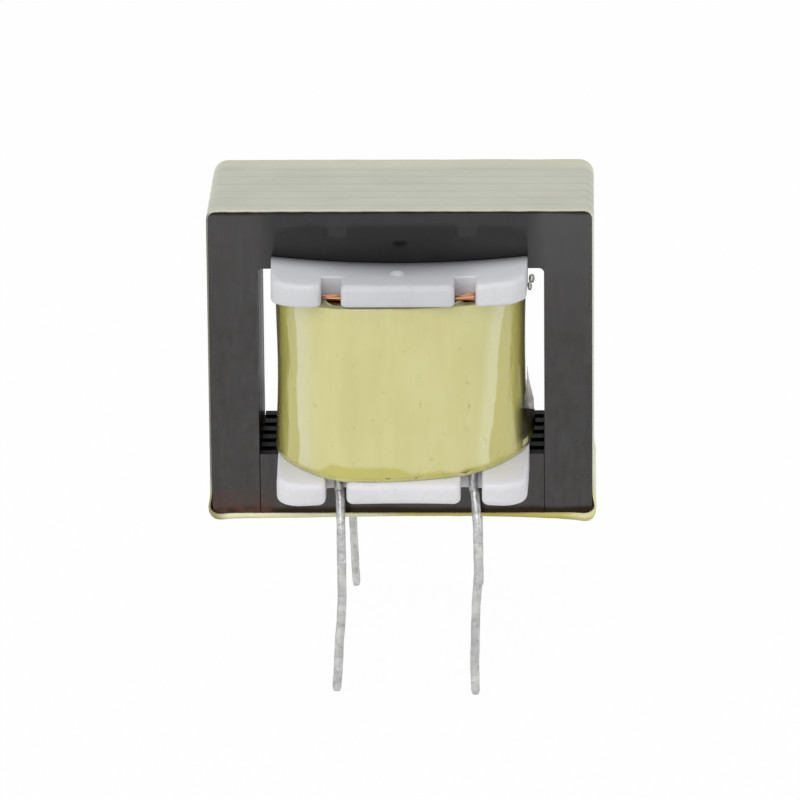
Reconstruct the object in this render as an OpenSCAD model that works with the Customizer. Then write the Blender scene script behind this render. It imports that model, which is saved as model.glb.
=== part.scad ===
// Miniature laminated transformer for a printed circuit board.
// Millimetres, +Z up. The origin is the middle of the seating face, the underside of the
// film round the core. X runs across the core and Y through the stack of sheets.
// The bobbin stands upright: the core's tongue passes through it from yoke to yoke.

/* [Core] */
// Width of one sheet
core_w = 14; // [13.6:0.1:14.6]
// Height of the closed core
core_h = 11.5; // [11.2:0.1:12]
// Thickness of one sheet
sheet_t = 0.5; // [0.35:0.05:0.55]
// Number of sheets in the stack
sheet_count = 11; // [11:1:11]
// Width of each outer leg
leg_w = 1.75; // [1.6:0.05:1.9]
// Width of the tongue
tongue_w = 3.5; // [3.2:0.1:3.6]
// Height of the yoke that joins the legs
yoke_h = 2.15; // [2:0.05:2.2]
// Height of the bar that closes the other end
bar_h = 2.25; // [2.2:0.05:2.4]
// Air left in each joint between a bar and its legs
joint_gap = 0.03; // [0.02:0.01:0.06]
// Radius of the outer corners
corner_r = 0.3; // [0.1:0.05:0.5]
// Radius of the window's corners
window_r = 0.2; // [0.1:0.05:0.3]
// How far the sheets lie out of line from side to side
scatter = 0.006; // [0:0.002:0.02]

/* [Core film] */
// Thickness of the film round the core
film_t = 0.07; // [0.05:0.01:0.1]
// How far the film stands past the rear sheet
film_overhang = 1.55; // [0.5:0.05:1.8]
// How far the film stands past the front sheet
film_lip = 0.04; // [0:0.01:0.1]
// Slack under the core, where the film hangs a little loose
film_slack = 0.08; // [0.04:0.01:0.15]
// Radius of the loose lower corners
loose_r = 0.75; // [0.6:0.05:1]
// How far the loose corners bulge past the sides
loose_out = 0.09; // [0.02:0.01:0.12]

/* [Bobbin] */
// Width of the flanges
flange_w = 9.3; // [8.8:0.1:9.6]
// Distance from the front rim to the rear rim
flange_d = 14.1; // [13.4:0.1:14.6]
// Radius of the flange's corners, seen from above
flange_r = 1.1; // [0.6:0.05:1.15]
// Angle at which the flange's sides close in towards the rims
side_taper = 5; // [0:0.5:5]
// Thickness of the flange inside the window
plate_t = 0.5; // [0.4:0.05:0.7]
// Thickness of the flange at its rim
rim_t = 0.82; // [0.6:0.02:1]
// Angle at which the flange flares away from the coil, outside the window
flare = 5; // [3:0.5:6]
// Angle at which the two sides of the flange's outer face rise towards the rim
crown = 1.2; // [1:0.1:3]
// How far the flange's outer face dips in the middle, next to the core
bow = 0.26; // [0.1:0.02:0.34]
// How much of that dip is left at the rim
rim_bow = 0.06; // [0:0.01:0.1]
// Wall of the tube round the tongue
tube_wall = 0.45; // [0.35:0.05:0.6]
// Clearance between the tube and the tongue
tube_fit = 0.05; // [0.04:0.01:0.08]
// Clearance between the flanges and the yokes
window_fit = 0.02; // [0.01:0.01:0.05]
// How far the bobbin sits to one side in the window
bobbin_shift = 0.08; // [0:0.02:0.16]
// Width of the notches that let the leads out
notch_w = 0.74; // [0.6:0.02:0.9]
// Length of the notches, in from the rim
notch_len = 1.8; // [1.7:0.1:2.2]
// Distance between the two notches in a rim
notch_pitch = 4.9; // [4.8:0.1:5.2]
// Radius at the mouth of each notch
mouth_r = 0.25; // [0.1:0.05:0.3]
// Radius of the moulding gate's stub
gate_r = 0.22; // [0.1:0.02:0.3]

/* [Coil] */
// Width of the taped coil
coil_w = 9.16; // [8.8:0.02:9.2]
// Depth of the taped coil, front to rear
coil_d = 13.44; // [13:0.02:13.6]
// Radius of the coil's corners, seen from above
coil_r = 4.1; // [3.8:0.05:4.4]
// Thickness of the outer tape's turns together
wrap_t = 0.2; // [0.12:0.02:0.24]
// Thickness of the tape between the two windings
layer_t = 0.07; // [0.05:0.01:0.1]
// Width of the inner winding
primary_w = 6.6; // [6:0.1:6.8]
// Depth of the inner winding
primary_d = 9.4; // [8.8:0.1:9.8]
// Corner radius of the inner winding
primary_r = 2.4; // [1.8:0.1:2.6]
// Clearance left between neighbouring parts of the coil
coil_fit = 0.02; // [0.01:0.01:0.04]

/* [Leads] */
// Diameter of the tinned wire
lead_d = 0.36; // [0.3:0.02:0.44]
// Distance between the two leads in a row
lead_pitch = 5; // [4.9:0.02:5.08]
// Distance between the two rows of leads
row_pitch = 12.1; // [11.9:0.1:12.3]
// How far both rows sit to one side of the core's middle
lead_shift = 0.33; // [0.25:0.02:0.4]
// Length of the leads below the seating face
lead_len = 5.65; // [4.5:0.05:7]
// Height up to which the leads run inside the coil
lead_top = 6.4; // [5:0.1:7]
// Distance from the middle at which the leads run inside the coil
lead_y = 5.5; // [5.45:0.05:5.6]

/* [Hidden] */
SHEETS = [for (k = [1 : sheet_count]) str(k < 10 ? "0" : "", k)];

$fn = 48;
BOW_FN = 360;  // for the very large cylinder that cuts the flanges' dip

film_gap = 0.01;
core_z = film_t + film_slack;
core_mid = core_z + core_h / 2;
stack_d = sheet_count * sheet_t;
face_y = stack_d / 2;
window_w = core_w - 2 * leg_w;
slot_w = (window_w - tongue_w) / 2;
window_half = core_h / 2 - bar_h;

film_w = core_w + 2 * (scatter + film_gap + film_t);
film_h = core_z + core_h + film_gap + film_t;

bore_w = tongue_w + 2 * (tube_fit + bobbin_shift);
bore_d = stack_d + 2 * tube_fit;
tube_w = bore_w + 2 * tube_wall;
tube_d = bore_d + 2 * tube_wall;
tube_r = 0.35;
plate_out = window_half - window_fit;
plate_in = plate_out - plate_t;
step_y = face_y + tube_fit + 0.03;
rim_y = flange_d / 2;
tab_rise = (rim_y - step_y) * tan(flare);
tab_run = rim_y - step_y;
corner_y = rim_y - flange_r;
corner_x = flange_w / 2 - (corner_y - step_y) * tan(side_taper) - flange_r / cos(side_taper);
rim_top = plate_in + tab_rise + rim_t;
step_top = rim_top - tab_run * tan(crown);
dip_slope = atan((rim_top - rim_bow - step_top + bow) / tab_run);
bow_r = (flange_w * flange_w / 4 + bow * bow) / (2 * bow);
gate_out = 2.1;      // the moulding gate's stub, out from the step, and how far it stands up
gate_h = 0.16;

coil_half = plate_in - coil_fit;
layer_in = primary_w + 2 * coil_fit;
layer_out = layer_in + 2 * layer_t;
secondary_out = 2 * (wrap_t + coil_fit);

notch_lean = (notch_w - lead_d) / 2 - 0.02;  // the leads lean on one side of their notches
bend_top = 1.8;      // where a lead leaves the notch and bends out to its row
bend_h = 1.4;
bend_d = lead_d + 0.012;  // a bend is a trifle thicker, as dipped wire is
board_end = -1.9;    // the leads are straight through the board, then wander a little
tip_taper = 0.08;
FRONT = -1;
REAR = 1;
LEFT = -1;
RIGHT = 1;

steel_color = [0.29, 0.28, 0.28];
film_color = [0.80, 0.79, 0.55];
bobbin_color = [0.90, 0.90, 0.92];
tape_color = [0.82, 0.80, 0.50];
copper_color = [0.72, 0.36, 0.20];
tin_color = [0.68, 0.68, 0.68];

// ---- outlines ----

module rounded_rect(w, d, r) {
    square([w - 2 * r, d], center = true);
    square([w, d - 2 * r], center = true);
    for (x = [-1, 1], y = [-1, 1])
        translate([x * (w / 2 - r), y * (d / 2 - r)]) circle(r);
}

// A frame or ring: one rounded rectangle inside another, the inner smaller by the wall.
module ring(w, d, r, wall) {
    difference() {
        rounded_rect(w, d, r);
        rounded_rect(w - 2 * wall, d - 2 * wall, r - wall);
    }
}

// Draws a flat outline standing up, thick along Y, starting at the plane y.
module standing(y, thick) {
    translate([0, y + thick, 0]) rotate([90, 0, 0]) linear_extrude(thick) children();
}

// ---- core: E-shaped sheets, each closed by a bar, every second one upside down ----

function scatter_of(k) = scatter * sin(137 * k);

module e_outline() {
    difference() {
        rounded_rect(core_w, core_h, corner_r);
        for (side = [LEFT, RIGHT])
            translate([side * (tongue_w + slot_w) / 2, -core_h / 2 - yoke_h])
                rounded_rect(slot_w, 2 * core_h, window_r);
        translate([0, -core_h / 2])
            square([tongue_w + slot_w, 2 * (bar_h + joint_gap)], center = true);
    }
}

module bar_outline() {
    translate([0, (bar_h - core_h) / 2])
        square([window_w - 2 * joint_gap, bar_h], center = true);
}

// Puts an outline into place k of the stack, counted from the front.
module in_stack(k) {
    translate([scatter_of(k), 0, core_mid])
        standing(-face_y + (k - 1) * sheet_t, sheet_t)
            rotate(k % 2 == 0 ? 180 : 0) children();
}

module e_sheet(k) { color(steel_color) in_stack(k) e_outline(); }

module closing_bar(k) { color(steel_color) in_stack(k) bar_outline(); }

// ---- film round the core: snug above, loose at its lower corners ----

module film_outline(inset) {
    translate([0, film_h / 2])
        rounded_rect(film_w - 2 * inset, film_h - 2 * inset, corner_r + film_t - inset);
    for (side = [LEFT, RIGHT])
        translate([side * (film_w / 2 + loose_out - loose_r), loose_r])
            circle(loose_r - inset);
}

module core_film() {
    color(film_color)
        standing(-face_y - film_lip, film_lip + stack_d + film_overhang)
            difference() {
                film_outline(0);
                film_outline(film_t);
            }
}

// ---- bobbin: a tube with two flanges, stepped over the yokes, flared and notched ----

// Half of a notch's mouth: the corner between a circle and the rim.
module mouth_corner(side) {
    difference() {
        translate([side * (notch_w + mouth_r) / 2, -mouth_r / 2]) square(mouth_r, center = true);
        translate([side * (notch_w / 2 + mouth_r), -mouth_r]) circle(mouth_r);
    }
}

module notch() {
    square([notch_w, 2 * notch_len], center = true);
    for (side = [LEFT, RIGHT]) mouth_corner(side);
}

// The flange without its notches. Its sides close in a little from the step to the rim.
module flange_outline() {
    side = [corner_x + flange_r * cos(side_taper), corner_y + flange_r * sin(side_taper)];
    quarter = [[flange_w / 2, step_y], side, [corner_x, rim_y]];
    polygon([
        for (p = quarter) p,
        for (k = [2 : -1 : 0]) [-quarter[k].x, quarter[k].y],
        for (p = quarter) -p,
        for (k = [2 : -1 : 0]) [quarter[k].x, -quarter[k].y]
    ]);
    for (x = [-1, 1], y = [-1, 1]) translate([x * corner_x, y * corner_y]) circle(flange_r);
}

module flange_plan() {
    difference() {
        flange_outline();
        for (x = [LEFT, RIGHT], turn = [0, 180])
            rotate(turn) translate([x * notch_pitch / 2, rim_y]) notch();
    }
}

// The upper flange, seen from the side. Its outer face steps up in front of the yoke.
module flange_side() {
    polygon([
        [-rim_y, plate_in + tab_rise], [-step_y, plate_in],
        [step_y, plate_in], [rim_y, plate_in + tab_rise],
        [rim_y, rim_top], [step_y, step_top],
        [step_y, plate_out], [-step_y, plate_out],
        [-step_y, step_top], [-rim_y, rim_top]
    ]);
}

// What the dip in the outer face takes off, at the front or at the rear. The dip runs out
// towards the rim, because it climbs more steeply than the face does.
module bow_cutter(end) {
    translate([0, end * step_y, step_top - bow]) rotate([end * dip_slope, 0, 0])
        translate([0, 0, bow_r]) rotate([-90 * end, 0, 0])
            cylinder(r = bow_r, h = 2 * rim_y, $fn = BOW_FN);
}

module flange() {
    difference() {
        translate([-flange_w / 2, 0, 0]) rotate([90, 0, 90])
            linear_extrude(flange_w) flange_side();
        for (end = [FRONT, REAR]) bow_cutter(end);
    }
}

module gate_stub() {
    foot = (plate_out + step_top - bow) / 2;
    face = step_top - bow + gate_out * tan(dip_slope);
    translate([0, -step_y - gate_out, foot]) cylinder(r = gate_r, h = face + gate_h - foot);
}

module bobbin() {
    color(bobbin_color) translate([bobbin_shift, 0, core_mid])
        difference() {
            union() {
                intersection() {
                    union() {
                        flange();
                        mirror([0, 0, 1]) flange();
                    }
                    linear_extrude(core_h, center = true) flange_plan();
                }
                linear_extrude(2 * plate_in, center = true)
                    rounded_rect(tube_w, tube_d, tube_r);
                gate_stub();
            }
            cube([bore_w, bore_d, core_h], center = true);
        }
}

// ---- coil: two windings with tape between and over them ----

// The room between the flanges, which opens outwards as they flare.
module coil_room(clear) {
    far_y = coil_d;
    half = plate_in - clear;
    far = half + (far_y - step_y) * tan(flare);
    translate([-coil_w, 0, 0]) rotate([90, 0, 90]) linear_extrude(2 * coil_w)
        polygon([
            [-far_y, -far], [-step_y, -half], [step_y, -half], [far_y, -far],
            [far_y, far], [step_y, half], [-step_y, half], [-far_y, far]
        ]);
}

// Gives an outline the coil's height, between the flanges.
module in_coil(clear) {
    translate([bobbin_shift, 0, core_mid]) intersection() {
        coil_room(clear);
        linear_extrude(core_h, center = true) children();
    }
}

module primary_winding() {
    color(copper_color) in_coil(2 * coil_fit) difference() {
        rounded_rect(primary_w, primary_d, primary_r);
        rounded_rect(tube_w + 2 * coil_fit, tube_d + 2 * coil_fit, tube_r + coil_fit);
    }
}

module layer_tape() {
    color(tape_color) in_coil(coil_fit)
        ring(layer_out, layer_out + primary_d - primary_w,
             primary_r + coil_fit + layer_t, layer_t);
}

// The leads lie in furrows that they press into the outer winding.
module lead_furrows() {
    width = lead_d + 2 * coil_fit;
    for (x = [LEFT, RIGHT], end = [FRONT, REAR])
        translate([x * notch_pitch / 2 + notch_lean, end * (lead_y + coil_d / 4 - width / 2)])
            square([width, coil_d / 2], center = true);
}

module secondary_winding() {
    inner = layer_out + 2 * coil_fit;
    color(copper_color) in_coil(2 * coil_fit) difference() {
        rounded_rect(coil_w - secondary_out, coil_d - secondary_out, coil_r - secondary_out / 2);
        rounded_rect(inner, inner + primary_d - primary_w, primary_r + 2 * coil_fit + layer_t);
        lead_furrows();
    }
}

module coil_tape() {
    color(tape_color) in_coil(coil_fit) ring(coil_w, coil_d, coil_r, wrap_t);
}

// ---- leads: stiff tinned wire, let out through the lower flange's notches ----

// A straight length of wire from p to q, with a blunt cut tip beyond q if tip isn't 0.
module rod(p, q, tip) {
    run = q - p;
    translate(p) rotate([0, acos(run.z / norm(run)), atan2(run.y, run.x)]) {
        cylinder(d = lead_d, h = norm(run));
        if (tip > 0) translate([0, 0, norm(run)])
            cylinder(d1 = lead_d, d2 = lead_d - 2 * tip, h = tip);
    }
}

// One lead. The end of its row is FRONT or REAR, drift is how far its tip wanders along X,
// and extra is how much longer than the others it was left.
module lead(side, end, drift, extra) {
    coil_x = bobbin_shift + notch_lean + side * notch_pitch / 2;
    board_x = lead_shift + side * lead_pitch / 2;
    board_y = end * row_pitch / 2;
    path = [
        [coil_x, end * lead_y, lead_top],
        [coil_x, end * lead_y, bend_top],
        [board_x, board_y, bend_top - bend_h],
        [board_x, board_y, board_end],
        [board_x + drift, board_y, tip_taper - lead_len - extra]
    ];
    last = len(path) - 1;
    color(tin_color) {
        for (i = [1 : last]) rod(path[i - 1], path[i], i == last ? tip_taper : 0);
        for (i = [1 : last - 1]) translate(path[i]) sphere(d = bend_d);
    }
}

module lead_front_left() { lead(LEFT, FRONT, -0.23, 0); }
module lead_front_right() { lead(RIGHT, FRONT, -0.14, 0.2); }
module lead_rear_left() { lead(LEFT, REAR, 0.19, 0); }
module lead_rear_right() { lead(RIGHT, REAR, 0.05, 0); }

for (k = [1 : sheet_count]) {
    e_sheet(k);
    closing_bar(k);
}
bobbin();
primary_winding();
layer_tape();
secondary_winding();
coil_tape();
core_film();
lead_front_left();
lead_front_right();
lead_rear_left();
lead_rear_right();
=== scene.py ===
# %% [markdown]
# # Miniature laminated transformer for a circuit board
#
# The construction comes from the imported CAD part, in metres, with +Z up and the origin in
# the middle of the seating face. This script gives the part its looks: procedural
# materials on every node, and finer stand-ins where the CAD solids are plainer than the
# real pieces, such as the moulded flanges, the wrapped tape and the dipped leads.

import math

import bmesh
import bpy
from mathutils import Matrix, Vector, geometry, noise


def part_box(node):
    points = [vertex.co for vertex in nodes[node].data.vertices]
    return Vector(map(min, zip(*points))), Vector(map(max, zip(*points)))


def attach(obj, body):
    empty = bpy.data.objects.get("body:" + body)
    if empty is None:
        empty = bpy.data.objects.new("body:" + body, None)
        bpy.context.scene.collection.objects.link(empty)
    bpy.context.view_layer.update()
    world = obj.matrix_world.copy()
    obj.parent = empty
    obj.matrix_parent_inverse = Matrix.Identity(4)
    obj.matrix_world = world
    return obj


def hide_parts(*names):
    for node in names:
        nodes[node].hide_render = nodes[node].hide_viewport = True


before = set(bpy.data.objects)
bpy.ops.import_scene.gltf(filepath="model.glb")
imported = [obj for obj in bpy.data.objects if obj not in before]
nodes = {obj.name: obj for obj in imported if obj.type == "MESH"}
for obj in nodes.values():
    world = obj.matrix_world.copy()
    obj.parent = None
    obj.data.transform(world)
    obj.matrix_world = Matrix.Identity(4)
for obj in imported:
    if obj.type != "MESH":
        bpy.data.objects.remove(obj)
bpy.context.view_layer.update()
MM = 0.001                               # metres in a millimetre
print("nodes:", len(nodes))

# %% [markdown]
# ## Sizes that several pieces share
#
# The script works in millimetres, because that is how the pieces are measured. Each size
# could be typed in again here, but it is read off the CAD nodes instead, so the looks
# still fit when the construction changes.

# %% Shared sizes


def box_mm(name):
    """The lowest and highest corner of a CAD node, in millimetres."""
    low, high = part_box(name)
    return low / MM, high / MM


core_low, core_high = box_mm("e_sheet_01")
FACE_Y = core_low.y                      # the front sheet's face
REAR_Y = box_mm("e_sheet_11")[1].y       # the rear sheet's back
CORE_HALF = (core_high.x - core_low.x) / 2
CORE_BASE = core_low.z
CORE_TOP = core_high.z
CORE_MID = (CORE_BASE + CORE_TOP) / 2
bob_low, bob_high = box_mm("bobbin")
BOB_X = (bob_low.x + bob_high.x) / 2
print("core", CORE_HALF * 2, CORE_TOP - CORE_BASE, "stack", REAR_Y - FACE_Y)

# %% [markdown]
# ## The camera
#
# A small part is best seen through a long lens from some way off: its upright edges then
# stay upright and its near side isn't swollen. The camera could be aimed with a tracking
# constraint, but it is placed by its bearing, height and roll from the core's bottom
# centre, because those three angles say plainly how the part is looked at.

# %% Camera
AZ = math.radians(1.355)                 # turned a little to the part's right
EL = math.radians(16.916)                # looking down on it
ROLL = math.radians(-0.505)
DIST = 279.18                            # mm from the core's bottom centre
AIM_RIGHT = 0.146                        # mm: where that point sits in the picture
AIM_UP = -3.342
LENS = 337.4                             # mm, on a sensor 36 mm wide

back = Vector((math.sin(AZ) * math.cos(EL), -math.cos(AZ) * math.cos(EL), math.sin(EL)))
right = Vector((math.cos(AZ), math.sin(AZ), 0))
up = back.cross(right)
cam_right = math.cos(ROLL) * right + math.sin(ROLL) * up
cam_up = math.cos(ROLL) * up - math.sin(ROLL) * right
spot = Vector((0, 0, CORE_BASE)) - AIM_RIGHT * cam_right - AIM_UP * cam_up + DIST * back

camera_data = bpy.data.cameras.new("camera")
camera_data.lens = LENS
camera_data.sensor_width = 36
camera_data.clip_start = 0.01
camera_data.clip_end = 10
camera = bpy.data.objects.new("camera", camera_data)
turn = Matrix((cam_right, cam_up, back)).transposed().to_4x4()
camera.matrix_world = Matrix.Translation(spot * MM) @ turn
bpy.context.scene.collection.objects.link(camera)
bpy.context.scene.camera = camera
print("camera at", tuple(round(v, 1) for v in spot), "mm")

# %% [markdown]
# ## Colours and nodes
#
# Every finish below is a small tree of shader nodes. Trees can be drawn by hand in the
# editor, but in a script one function that adds a node, with its settings and its links,
# is all that is needed. Colours are written as sRGB hex codes, as they look on a screen,
# and turned to the linear light that shaders reckon with.

# %% Adding a node


def rgb(code):
    """An sRGB colour such as "c8c8b4" as the linear colour that shaders take."""
    parts = [int(code[i:i + 2], 16) / 255 for i in (0, 2, 4)]
    return [p / 12.92 if p < 0.04045 else ((p + 0.055) / 1.055) ** 2.4 for p in parts] + [1]


def connect(node, name, value):
    """Fills a node's input with a link, a plain value, or a hex code as a colour."""
    if isinstance(value, bpy.types.NodeSocket):
        node.id_data.links.new(value, node.inputs[name])
    else:
        node.inputs[name].default_value = rgb(value) if isinstance(value, str) else value


def add(material, kind, *values, named=None, out=0, **settings):
    """Adds a node with its settings, fills its inputs in order or by name, and gives back
    one of its outputs."""
    node = material.node_tree.nodes.new("ShaderNode" + kind)
    for name, value in settings.items():
        setattr(node, name, value)
    for name, value in [*enumerate(values), *(named or {}).items()]:
        connect(node, name, value)
    return node.outputs[out]


print("the steel's darkest rust is", [round(v, 3) for v in rgb("4d2a1a")], "in linear light")

# %% [markdown]
# ## Starting a finish
#
# A finish starts with Blender's Principled shader, set to the typical values of the real
# material, and with the part's own coordinates in millimetres, so that a pattern's scale
# is a real size. Its colour is then built up as a painter would: a ground, and coats over
# it, each let through by masks that run from 0 to 1.

# %% A new material and its coats


def new_material(name, roughness=0.5, metallic=0.0, ior=1.5, coat=0.0):
    """A material with its Principled shader, and the part's own coordinates in mm."""
    material = bpy.data.materials.new(name)
    material.use_nodes = True
    shader = material.node_tree.nodes["Principled BSDF"]
    connect(shader, "Roughness", roughness)
    connect(shader, "Metallic", metallic)
    if not metallic:
        connect(shader, "IOR", ior)
    connect(shader, "Coat Weight", coat)
    metres = add(material, "TexCoord", out="Object")
    at = add(material, "VectorMath", metres, (1000,) * 3, operation="MULTIPLY")
    return material, shader, at


def painted(material, tone, *coats):
    """Lays coats over a ground. Each coat is its colour, then the masks and numbers whose
    product says how much of it shows."""
    for colour, *masks in coats:
        amount = masks[0]
        for mask in masks[1:]:
            amount = add(material, "Math", amount, mask, operation="MULTIPLY")
        tone = add(material, "Mix", amount, named={6: tone, 7: colour}, out=2, data_type="RGBA")
    return tone


print("materials before the first finish:", len(bpy.data.materials))

# %% [markdown]
# ## Core steel
#
# The core is a stack of thin silicon-steel sheets, punched from rolled strip and dipped in
# varnish. A picture of worn metal could be wrapped on, but noise drawn out along the
# rolling direction gives the same look at any size and needs no picture. It is a metal
# through and through, so most of its dark grey is what it mirrors.
#
# Rolling marks are finer than 0.05 mm. They are drawn about 0.25 mm apart, to show at all,
# and the oxide's patches are a little under a millimetre across.

# %% Core steel: rolled grain and mottled oxide
steel, shader, at = new_material("varnished_silicon_steel", metallic=1.0)
x, y, z = add(steel, "SeparateXYZ", at).node.outputs
rolled = add(steel, "VectorMath", at, (4, 0.4, 0.8), operation="MULTIPLY")
grain = add(steel, "TexNoise", named={"Vector": rolled, "Scale": 1.0, "Detail": 5, "Roughness": 0.65})
grain = add(steel, "MapRange", grain, 0.35, 0.65)
mottle = add(steel, "TexNoise", named={"Vector": at, "Scale": 1.1, "Detail": 6, "Roughness": 0.72})
mottle = add(steel, "MapRange", mottle, 0.35, 0.65)
tone = painted(steel, "494848", ("504f4f", grain), ("43403d", mottle, 0.5))
print("steel: grain and mottle over a dark grey")

# %% [markdown]
# ### Painted reflections on the upper yoke
#
# The upper right mirrors more of a bright room, and the yoke's face above the upper flange
# shows the flange's dark mirror image. Both are painted reflections: they could be left to
# the lamps, but the real sheets are not quite flat, so masks made from the height and the
# width put the tones where they lie.

# %% Core steel: the upper yoke
# painted reflection: lighter towards the top and the right
top_reflection = add(steel, "MapRange", z, 6, 12, interpolation_type="SMOOTHSTEP")
to_right = add(steel, "MapRange", x, -7, 7, interpolation_type="SMOOTHSTEP")
to_right = add(steel, "Math", to_right, 0.45, 0.25, operation="MULTIPLY_ADD")

wide = add(steel, "Math", x, operation="ABSOLUTE")
# painted reflection: the upper flange's dark mirror image, above the window and below the top edge
reflection_top = add(steel, "MapRange", z, CORE_TOP - 0.42, CORE_TOP - 0.6, interpolation_type="SMOOTHSTEP")
reflection_end = add(steel, "MapRange", wide, 4.78, 4.6, interpolation_type="SMOOTHSTEP")
flange_reflection = add(steel, "Math", reflection_top, reflection_end, operation="MULTIPLY")
reflection_soft_end = add(steel, "MapRange", wide, 5.4, 4.5, interpolation_type="SMOOTHSTEP")
reflection_soft_end = add(steel, "Math", reflection_soft_end, 0.8, operation="MULTIPLY")
flange_reflection = add(steel, "Math", flange_reflection, reflection_soft_end, operation="MAXIMUM")
over_window = add(steel, "MapRange", z, CORE_MID + 3.4, CORE_MID + 3.6,
                  interpolation_type="SMOOTHSTEP")
front_half = add(steel, "MapRange", y, 0.1, -0.1, interpolation_type="SMOOTHSTEP")
uneven = add(steel, "Math", mottle, 0.15, 0.85, operation="MULTIPLY_ADD")
tone = painted(steel, tone, ("585757", top_reflection, to_right),
               ("3b3a3a", flange_reflection, over_window, front_half, uneven))
print("steel: bar from", CORE_MID + 3.5, "mm up")

# %% [markdown]
# ### Punched edges and the dark between the sheets
#
# A punch tears the steel's edge, so it is matt and nearly black instead of shiny. Separate
# materials for faces and edges would be one way, but the surface normal already tells them
# apart: a sheet's face looks along Y, and its edges don't.

# %% Core steel: punched edges
normal = add(steel, "NewGeometry", out="Normal")
facing = add(steel, "SeparateXYZ", normal).node.outputs
face_on = add(steel, "Math", facing[1], operation="ABSOLUTE")
punched = add(steel, "MapRange", face_on, 0.9, 0.5, interpolation_type="SMOOTHSTEP")
behind_front = add(steel, "MapRange", y, FACE_Y + 0.3, FACE_Y + 0.4,
                   interpolation_type="SMOOTHSTEP")
before_rear = add(steel, "MapRange", y, REAR_Y - 0.3, REAR_Y - 0.4,
                  interpolation_type="SMOOTHSTEP")
tone = painted(steel, tone, ("0f0e0e", punched), ("141416", behind_front, before_rear, 0.85))
print("steel: sheets between", FACE_Y + 0.4, "and", REAR_Y - 0.4, "mm are darker")

# %% [markdown]
# ### Painted shade along the edges, and rust
#
# The upper and lower edges are painted a dark brown: painted shade along the top and bottom
# edges. Rust has started at the foot of the left leg. Rust could be painted by hand, but
# noise with a hard threshold makes the same ragged patches, here about 0.4 mm across, and a
# mask keeps them where they belong.

# %% Core steel: painted edge shade and rust
wander = add(steel, "TexNoise", named={"Vector": at, "Scale": 0.9, "Detail": 3})
wander = add(steel, "MapRange", wander, 0.35, 0.65)
wander = add(steel, "Math", wander, 0.06, operation="MULTIPLY")
height = add(steel, "Math", z, wander, operation="ADD")
# painted shade: the top and bottom edges darken to brown, with a wavering border
bottom_edge_shade = add(steel, "MapRange", height, CORE_BASE + 0.34, CORE_BASE + 0.14,
                interpolation_type="SMOOTHSTEP")
top_edge_shade = add(steel, "MapRange", height, CORE_TOP - 0.12, CORE_TOP + 0.02,
               interpolation_type="SMOOTHSTEP")
edge_shade = add(steel, "Math", bottom_edge_shade, top_edge_shade, operation="MAXIMUM")

near_base = add(steel, "MapRange", z, CORE_BASE + 1.1, CORE_BASE + 0.2,
                interpolation_type="SMOOTHSTEP")
on_left = add(steel, "MapRange", x, -4.5, -5.1, interpolation_type="SMOOTHSTEP")
patches = add(steel, "TexNoise", named={"Vector": at, "Scale": 2.4, "Detail": 6, "Roughness": 0.7})
patches = add(steel, "MapRange", patches, 0.3, 0.58)
rust = add(steel, "Math", near_base, patches, operation="MULTIPLY")
rust = add(steel, "Math", rust, on_left, operation="MULTIPLY")
tone = painted(steel, tone, ("291f10", edge_shade, 0.9), ("4d2a1a", rust, 0.8))
connect(shader, "Base Color", tone)
print("steel: oil and rust up to", CORE_BASE + 1.1, "mm")

# %% [markdown]
# ### How the steel shines
#
# Rust and torn edges are no mirrors, so they take away the metallic value and add
# roughness. Each sheet also gets a bevel of a hundredth of a millimetre: the edges could
# stay sharp, but then no sheet would catch a line of light, and the stack would look solid.

# %% Core steel: shine, and on to the sheets


def bevel(obj, width_mm, segments=3, angle=35):
    """Rounds the edges that are sharper than the angle, in degrees."""
    mod = obj.modifiers.new("rounded_edges", "BEVEL")
    mod.width = width_mm * MM
    mod.segments = segments
    mod.limit_method = "ANGLE"
    mod.angle_limit = math.radians(angle)
    mod.harden_normals = True


dull = add(steel, "Math", rust, 0.7, operation="MULTIPLY")
dull = add(steel, "Math", dull, punched, operation="MAXIMUM")
connect(shader, "Metallic", add(steel, "Math", 1.0, dull, operation="SUBTRACT"))

# The window's floor and ceiling are seen at a slant, where even matt steel would shine, so
# faces that look up or down hardly mirror at all.
level = add(steel, "Math", facing[2], operation="ABSOLUTE")
level = add(steel, "MapRange", level, 0.5, 0.8, interpolation_type="SMOOTHSTEP")
level = add(steel, "Math", level, -0.486, 0.5, operation="MULTIPLY_ADD")
connect(shader, "Specular IOR Level", level)
rough = add(steel, "Math", punched, 0.3, 0.08, operation="MULTIPLY_ADD")
connect(shader, "Roughness", add(steel, "Math", rust, 0.3, rough, operation="MULTIPLY_ADD"))

sheets = [obj for name, obj in nodes.items() if name.startswith(("e_sheet", "closing_bar"))]
for obj in sheets:
    obj.data.materials.clear()
    obj.data.materials.append(steel)
    bevel(obj, 0.01, segments=2)
print("steel on", len(sheets), "nodes")

# %% [markdown]
# ## A piece of our own
#
# Some nodes are shown by a finer mesh. It could be modelled in the viewport, but here its
# corners are reckoned in millimetres and handed to Blender in metres. Each piece rides on
# the part, wears its material, and hides the node it stands in for.

# %% Making a piece


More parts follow.
